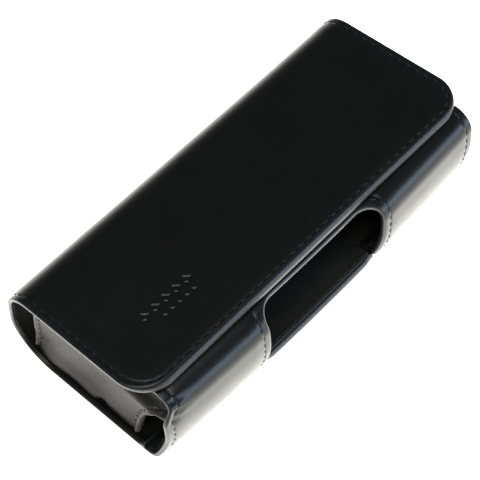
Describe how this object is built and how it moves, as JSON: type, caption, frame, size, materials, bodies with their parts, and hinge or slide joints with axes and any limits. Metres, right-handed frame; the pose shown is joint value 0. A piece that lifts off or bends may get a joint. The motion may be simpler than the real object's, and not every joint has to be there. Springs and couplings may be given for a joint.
{
  "type": "leather belt pouch",
  "caption": "Horizontal black leather belt pouch with a magnetic flap over a hinged spine, a windowed front panel, end gussets and a belt loop.",
  "frame": {"origin": "on the resting plane under the middle of the pouch's box, where the belt loop's strap lies", "axes": "+X along the pouch, +Y towards the spine that covers the pocket's mouth, +Z out of the flap"},
  "size_m": [0.12, 0.0569, 0.0359],
  "materials": {
    "outer_leather": "smooth satin calf, black",
    "gusset_leather": "smooth glossy calf, black",
    "suede_lining": "matt black microsuede",
    "stiffener_board": "bonded leather board",
    "magnet_nickel": "bright nickel plate",
    "catch_steel": "zinc-plated steel",
    "thread": "waxed polyester thread, black"
  },
  "bodies": {
    "pouch": {"back_leather": "outer_leather", "back_stiffener": "stiffener_board", "back_lining": "suede_lining", "front_leather": "outer_leather", "front_stiffener": "stiffener_board", "front_lining": "suede_lining", "gusset_leather_left": "gusset_leather", "gusset_leather_right": "gusset_leather", "gusset_lining_left": "suede_lining", "gusset_lining_right": "suede_lining", "catch_plate_left": "catch_steel", "catch_plate_right": "catch_steel", "belt_loop": "outer_leather", "belt_loop_lining": "suede_lining", "back_stitches": "thread", "window_stitches": "thread", "lip_stitches": "thread", "seam_stitches_left": "thread", "seam_stitches_right": "thread", "mouth_stitches": "thread", "bottom_seam_stitches": "thread", "hem_stitches_left": "thread", "hem_stitches_right": "thread", "arch_stitches_left": "thread", "arch_stitches_right": "thread", "belt_loop_stitches": "thread"},
    "spine": {"spine_leather": "outer_leather", "spine_stiffener": "stiffener_board", "spine_lining": "suede_lining", "spine_stitches": "thread"},
    "flap": {"flap_leather": "outer_leather", "flap_stiffener": "stiffener_board", "flap_lining": "suede_lining", "flap_magnet_left": "magnet_nickel", "flap_magnet_right": "magnet_nickel", "flap_stitches": "thread"}
  },
  "joints": [
    {"name": "spine_fold", "type": "hinge", "parent": "pouch", "child": "spine", "pos_m": [0, 0.02519, 0.01089], "axis": [-1, 0, 0], "range_deg": [0, 105]},
    {"name": "flap_fold", "type": "hinge", "parent": "spine", "child": "flap", "pos_m": [0, 0.02354, 0.0335], "axis": [-1, 0, 0], "range_deg": [0, 80]}
  ]
}
